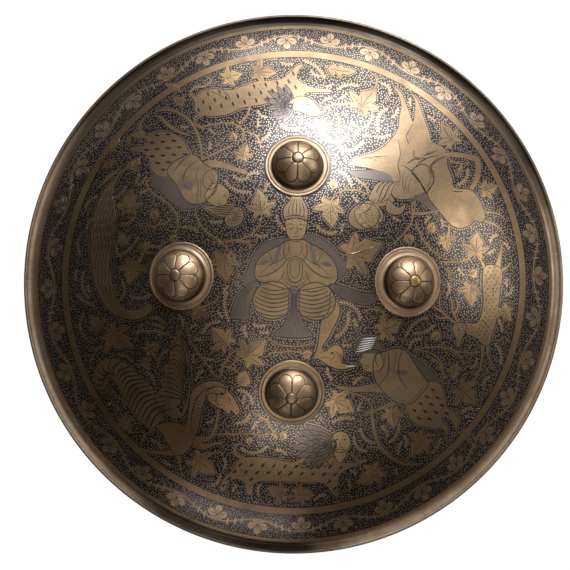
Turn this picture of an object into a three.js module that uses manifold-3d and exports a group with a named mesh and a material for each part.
// A round Persian buckler (sipar) of sheet steel, lying with its convex side up.
// Millimetres, +Z up, the origin at the centre of the circle that the rim rests on.
//
// The body is one raised plate: a spherical bowl, turned up at its edge into a narrow
// cove and rolled into a bead. Four hollow bosses sit on it, north, south, east and
// west, and a rivet through each boss and the plate is closed over on the inside.
// Each boss and its rivet is turned about a line through the centre of the sphere, so
// flange, plate and rivet tail share concentric faces and fit with an even gap.

import * as THREE from "three";
import { mergeVertices } from "three/addons/utils/BufferGeometryUtils.js";
import Module from "manifold-3d";

const wasm = await Module();
wasm.setup();

// ---- driving dimensions ----
const outerRadius = 232.5; // over the rolled edge
const sphereRadius = 325; // outer face of the bowl
const plateThickness = 1.6;
const bowlRadius = 222.3; // where the bowl ends and the cove begins
const beadRadius = 1.6; // of the rolled edge, in section
const coveRise = THREE.MathUtils.degToRad(20); // how far the cove turns up
const restWidth = 2; // flat ring under the cove that the shield lies on

const bossDistance = 94; // plan distance of a boss from the middle
const bossSheet = 1.2;
const seatGap = 0.3; // between faces that touch
const petals = 8;
const petalDepth = 0.45; // of the creases between petals

const shankRadius = 2.2;
const buttonRadius = 3.7;
const buttonHeight = 1.5;
const tailRadius = 4.6;
const tailHeight = 1.8;

const plateSides = 64;
const bossSides = 32;
const rivetSides = 12;

// Bosses raised by hand, so no two are quite alike: flange and dome radius, dome height
// above the flange, and the length of the sweep from dome to flange. The right one has
// been riveted again in brass.
const bosses = [
  { side: "right", azimuth: 0, flange: 29.2, dome: 21.4, height: 17, sweep: 3.2 },
  { side: "upper", azimuth: 90, flange: 27.1, dome: 21.2, height: 17.5, sweep: 0.9 },
  { side: "left", azimuth: 180, flange: 28.3, dome: 21.6, height: 16.5, sweep: 3.2 },
  { side: "lower", azimuth: 270, flange: 27.7, dome: 21.2, height: 17, sweep: 1.2 },
];
const brassRivetSide = "right";


// ---- sizes that follow from them ----
const slopeAtCove = Math.asin(bowlRadius / sphereRadius);
const coveEnd = outerRadius - 2 * beadRadius;
const coveRadius = (coveEnd - bowlRadius) / (Math.sin(slopeAtCove) + Math.sin(coveRise));
const coveMiddle = bowlRadius + coveRadius * Math.sin(slopeAtCove);
const underRadius = coveRadius + plateThickness;
const restHalfAngle = Math.asin(restWidth / 2 / underRadius);
const coveCentreZ = underRadius * Math.cos(restHalfAngle); // the flat ring lies at z = 0
const coveStartZ = coveCentreZ - coveRadius * Math.cos(slopeAtCove);
const sphereZ = coveStartZ - sphereRadius * Math.cos(slopeAtCove);
const bossTilt = Math.asin(bossDistance / sphereRadius);

// ---- outlines, as lists of (radius, height) points ----
const point = (radius, height) => new THREE.Vector2(radius, height);

// Points on an arc, angles measured from straight up and positive outwards.
function arc(centreRadius, centreHeight, radius, from, to, steps) {
  return Array.from({ length: steps + 1 }, (_, i) => {
    const angle = from + ((to - from) * i) / steps;
    return point(
      Math.max(0, centreRadius + radius * Math.sin(angle)),
      centreHeight + radius * Math.cos(angle),
    );
  });
}

// Height of a sphere concentric with the bowl, above the bowl's own face on a boss's axis.
function seatHeight(radius, lift) {
  return Math.sqrt((sphereRadius + lift) ** 2 - radius ** 2) - sphereRadius;
}

function plateOutline() {
  const innerRadius = sphereRadius - plateThickness;
  const down = Math.PI; // an arc's lowest point
  const beadZ = coveCentreZ - coveRadius * Math.cos(coveRise);
  const inside = arc(0, sphereZ, innerRadius, 0, slopeAtCove, 8);
  const underCove = arc(
    coveMiddle, coveCentreZ, underRadius, down + slopeAtCove, down + restHalfAngle, 2,
  );
  const underLip = arc(
    coveMiddle, coveCentreZ, underRadius, down - restHalfAngle, down - coveRise, 1,
  );
  const bead = arc(
    outerRadius - beadRadius, beadZ + beadRadius / 2, beadRadius,
    0.86 * Math.PI, -0.45 * Math.PI, 6,
  );
  const cove = arc(
    coveMiddle, coveCentreZ, coveRadius, down - coveRise, down + slopeAtCove, 3,
  );
  const outside = arc(0, sphereZ, sphereRadius, slopeAtCove, 0, 10);
  return [
    ...inside,
    ...underCove.slice(1),
    ...underLip,
    ...bead,
    ...cove.slice(0, -1),
    ...outside,
  ];
}

// A boss: domed sheet with a hole for its rivet and a flange that follows the bowl.
function bossOutline({ flange, dome, height, sweep }) {
  const holeRadius = shankRadius + seatGap;
  const flangeTop = seatGap + bossSheet;
  const domeFoot = seatHeight(dome, flangeTop);
  const hollow = dome - bossSheet;
  const domeArc = (radius, rise, base, steps) =>
    Array.from({ length: steps + 1 }, (_, i) => {
      const first = Math.asin(holeRadius / radius);
      const angle = first + ((Math.PI / 2 - first) * i) / steps;
      return point(radius * Math.sin(angle), base + rise * Math.cos(angle));
    });
  const outer = domeArc(dome, height, domeFoot, 6);
  const inner = domeArc(hollow, height - bossSheet, domeFoot, 4);
  const foot = outer.pop();
  const sweepTop = point(dome - 0.06 * sweep, foot.y + 0.5 * sweep);
  const sweepFoot = point(
    dome + 0.5 * sweep,
    seatHeight(dome + 0.5 * sweep, flangeTop) + 0.12 * sweep,
  );
  const flangeStart = point(dome + sweep, seatHeight(dome + sweep, flangeTop));
  const closed = [
    ...outer.filter((p) => p.y > sweepTop.y + 0.4),
    sweepTop,
    sweepFoot,
    flangeStart,
    point(flange - 0.4, seatHeight(flange - 0.4, flangeTop)),
    point(flange, seatHeight(flange, flangeTop - 0.4)),
    point(flange, seatHeight(flange, seatGap)),
    point(hollow, seatHeight(hollow, seatGap)),
    ...inner.reverse(),
  ];
  return [...closed, closed[0].clone()].reverse();
}

// A rivet: button on the boss, shank, and the tail closed over on the inside.
function rivetOutline({ dome, height }) {
  const buttonSeat = seatHeight(dome, seatGap + bossSheet) + height + seatGap;
  const tailTop = seatHeight(tailRadius, -plateThickness - seatGap);
  const button = [
    point(shankRadius, buttonSeat),
    point(buttonRadius, buttonSeat),
    point(buttonRadius * 0.94, buttonSeat + buttonHeight * 0.55),
    point(buttonRadius * 0.6, buttonSeat + buttonHeight * 0.88),
    point(0, buttonSeat + buttonHeight),
  ];
  const tail = [
    point(0, tailTop - tailHeight),
    point(tailRadius * 0.65, tailTop - tailHeight * 0.85),
    point(tailRadius, tailTop - tailHeight * 0.35),
    point(tailRadius, tailTop),
    point(shankRadius, tailTop),
  ];
  return [...tail, ...button];
}

// ---- solids ----
// Turns an outline about +Z.
function turned(outline, sides) {
  return new THREE.LatheGeometry(outline, sides).rotateX(Math.PI / 2);
}

function toSolid(geometry) {
  const bare = geometry.clone();
  bare.deleteAttribute("normal");
  bare.deleteAttribute("uv");
  const merged = mergeVertices(bare, 1e-3);
  return new wasm.Manifold(
    new wasm.Mesh({
      numProp: 3,
      vertProperties: merged.attributes.position.array,
      triVerts: new Uint32Array(merged.index.array),
    }),
  );
}

function toGeometry(solid) {
  const { vertProperties, triVerts } = solid.getMesh();
  const geometry = new THREE.BufferGeometry()
    .setAttribute("position", new THREE.BufferAttribute(vertProperties, 3))
    .setIndex(new THREE.BufferAttribute(triVerts, 1));
  geometry.computeVertexNormals();
  return geometry;
}

// Presses the creases between petals into the crown of a boss.
function pressPetals(geometry, dome) {
  const position = geometry.getAttribute("position");
  const outside = seatHeight(dome, seatGap + bossSheet);
  for (let i = 0; i < position.count; i++) {
    const [x, y, z] = [position.getX(i), position.getY(i), position.getZ(i)];
    const radius = Math.hypot(x, y) / dome;
    const onCrown = z > outside + 5 && radius > 0.3 && radius < 0.86;
    const crease = Math.abs(Math.cos((petals / 2) * Math.atan2(y, x))) ** 6;
    if (onCrown) position.setZ(i, z - petalDepth * crease);
  }
  return geometry;
}

// A frame whose +Z stands square on the bowl where a boss sits.
function bossFrame(azimuth) {
  const turn = new THREE.Group();
  turn.rotation.z = THREE.MathUtils.degToRad(azimuth);
  const lean = new THREE.Group();
  lean.rotation.y = bossTilt;
  lean.position.set(bossDistance, 0, sphereZ + sphereRadius * Math.cos(bossTilt));
  turn.add(lean);
  return { turn, lean };
}

function platePiece() {
  const hole = toSolid(
    new THREE.CylinderGeometry(
      shankRadius + seatGap, shankRadius + seatGap, 20, rivetSides,
    ).rotateX(Math.PI / 2),
  );
  let plate = toSolid(turned(plateOutline(), plateSides));
  for (const { azimuth } of bosses) {
    const { turn, lean } = bossFrame(azimuth);
    turn.updateMatrixWorld(true);
    plate = plate.subtract(hole.transform(lean.matrixWorld.toArray()));
  }
  return toGeometry(plate);
}

// ---- finishes ----
const etchedSteel = new THREE.MeshStandardMaterial({
  color: 0x6b5848, roughness: 0.42, metalness: 0.9,
});
const brownedSteel = new THREE.MeshStandardMaterial({
  color: 0x8a6a4c, roughness: 0.35, metalness: 0.9,
});
const rivetSteel = new THREE.MeshStandardMaterial({
  color: 0x8c7a68, roughness: 0.4, metalness: 0.9,
});
const rivetBrass = new THREE.MeshStandardMaterial({
  color: 0xc2953f, roughness: 0.3, metalness: 0.95,
});

// ---- the shield ----
function piece(name, geometry, material) {
  const mesh = new THREE.Mesh(geometry, material);
  mesh.name = name;
  return mesh;
}

const shield = new THREE.Group();
shield.add(piece("shield_plate", platePiece(), etchedSteel));
for (const boss of bosses) {
  const { turn, lean } = bossFrame(boss.azimuth);
  const dome = pressPetals(turned(bossOutline(boss), bossSides), boss.dome);
  const rivet = turned(rivetOutline(boss), rivetSides);
  const rivetMetal = boss.side === brassRivetSide ? rivetBrass : rivetSteel;
  lean.add(piece(`boss_${boss.side}`, dome, brownedSteel));
  lean.add(piece(`rivet_${boss.side}`, rivet, rivetMetal));
  shield.add(turn);
}

export default shield;
